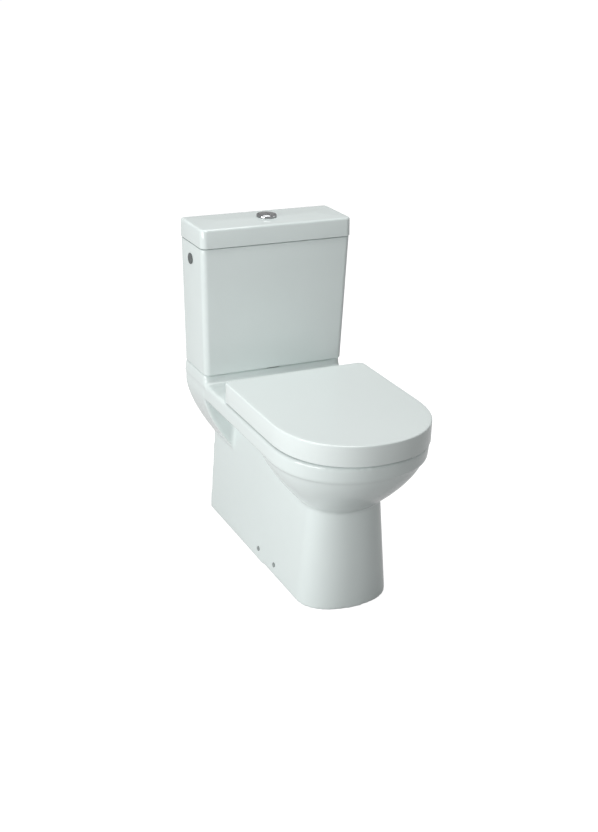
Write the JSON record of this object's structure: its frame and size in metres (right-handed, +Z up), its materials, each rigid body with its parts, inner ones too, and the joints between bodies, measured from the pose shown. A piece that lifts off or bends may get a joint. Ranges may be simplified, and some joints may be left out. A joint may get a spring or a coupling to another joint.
{
  "type": "close-coupled toilet",
  "caption": "Close-coupled floor toilet with skirted pan, D-shaped hinged seat and cover, cistern with lift-off lid, split flush button, flush valve and float valve.",
  "frame": {"origin": "on the floor, below the middle of the overall bounding box", "axes": "+Z up, -Y towards the front of the pan, +Y towards the wall behind it, +X to the right of someone facing the toilet"},
  "size_m": [0.3947, 0.693, 0.7856],
  "materials": {
    "ceramic": "white glazed vitreous china",
    "seat_plastic": "glossy white moulded plastic",
    "white_plastic": "plain white moulded plastic",
    "blue_plastic": "blue moulded plastic",
    "dark_plastic": "dark grey moulded plastic",
    "rubber": "black rubber",
    "chrome": "polished chrome plate",
    "steel": "stainless steel",
    "brass": "plain brass"
  },
  "bodies": {
    "root": {"pan": "ceramic", "cistern_tank": "ceramic", "side_hole_plug": "dark_plastic", "side_plug_nut": "dark_plastic", "outlet_washer": "rubber", "flush_valve_base": "white_plastic", "outlet_backnut": "white_plastic", "coupling_gasket": "rubber", "flush_valve_tower": "white_plastic", "fill_valve_body": "white_plastic", "inlet_washer": "rubber", "inlet_backnut": "brass", "float_arm_pin": "steel", "tank_bolt_left": "steel", "tank_bolt_right": "steel", "bolt_head_washer_left": "rubber", "bolt_head_washer_right": "rubber", "wing_nut_washer_left": "steel", "wing_nut_washer_right": "steel", "wing_nut_left": "brass", "wing_nut_right": "brass", "hinge_post_left": "chrome", "hinge_post_right": "chrome", "hinge_pin_left": "steel", "hinge_pin_right": "steel", "seat_fixing_bush_left": "rubber", "seat_fixing_bush_right": "rubber", "floor_bracket_left": "steel", "floor_bracket_right": "steel", "side_screw_1": "steel", "side_screw_2": "steel", "side_screw_3": "steel", "side_screw_4": "steel", "side_screw_cap_1": "dark_plastic", "side_screw_cap_2": "dark_plastic", "side_screw_cap_3": "dark_plastic", "side_screw_cap_4": "dark_plastic"},
    "lid": {"cistern_lid": "ceramic", "button_bezel": "chrome", "bezel_nut": "white_plastic", "full_flush_spring": "steel", "half_flush_spring": "steel"},
    "full_button": {"full_flush_button": "chrome", "full_flush_rod": "white_plastic"},
    "half_button": {"half_flush_button": "chrome", "half_flush_rod": "white_plastic"},
    "plunger": {"overflow_tube": "blue_plastic", "flush_seal": "rubber"},
    "float": {"float_arm": "white_plastic", "fill_valve_float": "blue_plastic"},
    "seat": {"seat_ring": "seat_plastic", "seat_buffer_1": "rubber", "seat_buffer_2": "rubber", "seat_buffer_3": "rubber", "seat_buffer_4": "rubber"},
    "cover": {"seat_cover": "seat_plastic", "cover_buffer_1": "rubber", "cover_buffer_2": "rubber"}
  },
  "joints": [
    {"name": "seat_hinge", "type": "hinge", "parent": "root", "child": "seat", "pos_m": [0, 0.1145, 0.424], "axis": [-1, 0, 0], "range_deg": [0, 96]},
    {"name": "cover_hinge", "type": "hinge", "parent": "seat", "child": "cover", "pos_m": [0, 0.1145, 0.424], "axis": [1, 0, 0], "range_deg": [-96, 0]},
    {"name": "lid_lift", "type": "slide", "parent": "root", "child": "lid", "axis": [0, 0, 1], "range_m": [0, 0.1]},
    {"name": "full_button_press", "type": "slide", "parent": "lid", "child": "full_button", "axis": [0, 0, -1], "range_m": [0, 0.006], "stiffness_N_per_m": 250, "springref_m": -0.01, "deforming": ["full_flush_spring"]},
    {"name": "half_button_press", "type": "slide", "parent": "lid", "child": "half_button", "axis": [0, 0, -1], "range_m": [0, 0.006], "stiffness_N_per_m": 250, "springref_m": -0.01, "deforming": ["half_flush_spring"]},
    {"name": "flush_plunger", "type": "slide", "parent": "root", "child": "plunger", "axis": [0, 0, 1], "range_m": [0, 0.015]},
    {"name": "float_arm_hinge", "type": "hinge", "parent": "root", "child": "float", "pos_m": [0.12079, 0.3045, 0.712], "axis": [0, 1, 0], "range_deg": [0, 18]}
  ],
  "couplings": [
    {"joint": "flush_plunger", "follows": "full_button_press", "ratio": 2.5}
  ]
}
